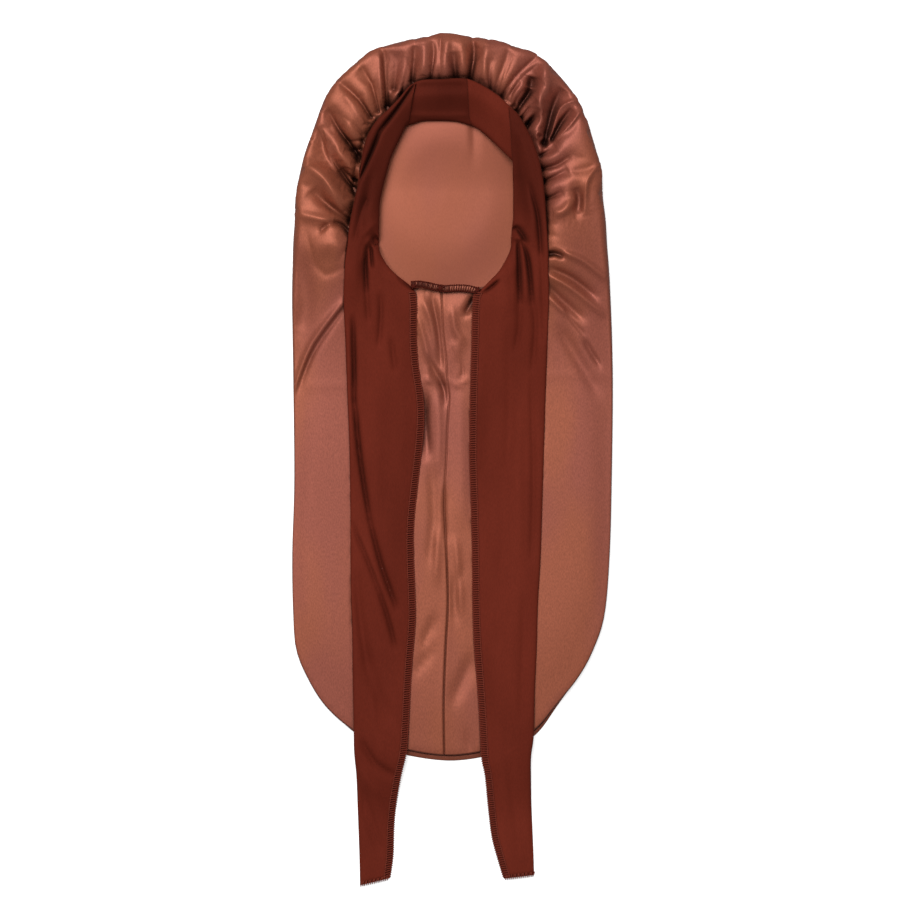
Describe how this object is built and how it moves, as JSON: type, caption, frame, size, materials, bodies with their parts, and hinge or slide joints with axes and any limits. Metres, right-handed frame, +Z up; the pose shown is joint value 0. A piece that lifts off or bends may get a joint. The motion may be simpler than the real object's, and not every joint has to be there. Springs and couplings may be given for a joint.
{
  "type": "sleep bonnet",
  "caption": "Long satin sleep bonnet for braids, gathered on to a jersey band whose ends run on as long ties, lying flat face up",
  "frame": {"origin": "on the table under the middle of the whole piece, ties included", "axes": "+Z up from the table through the face opening, +Y from the tie ends towards the crown, +X to the right as seen from above with the crown away from the viewer"},
  "size_m": [0.3108, 0.821, 0.0405],
  "materials": {
    "satin": "soft two-tone satin, pinkish brown to copper brown",
    "jersey": "matt knitted jersey, deep red brown",
    "elastic": "overlocked satin edge over elastic, red-brown thread"
  },
  "bodies": {
    "root": {"bag_back": "satin", "bag_front": "satin", "tie_band": "jersey", "nape_elastic": "elastic"}
  },
  "joints": []
}
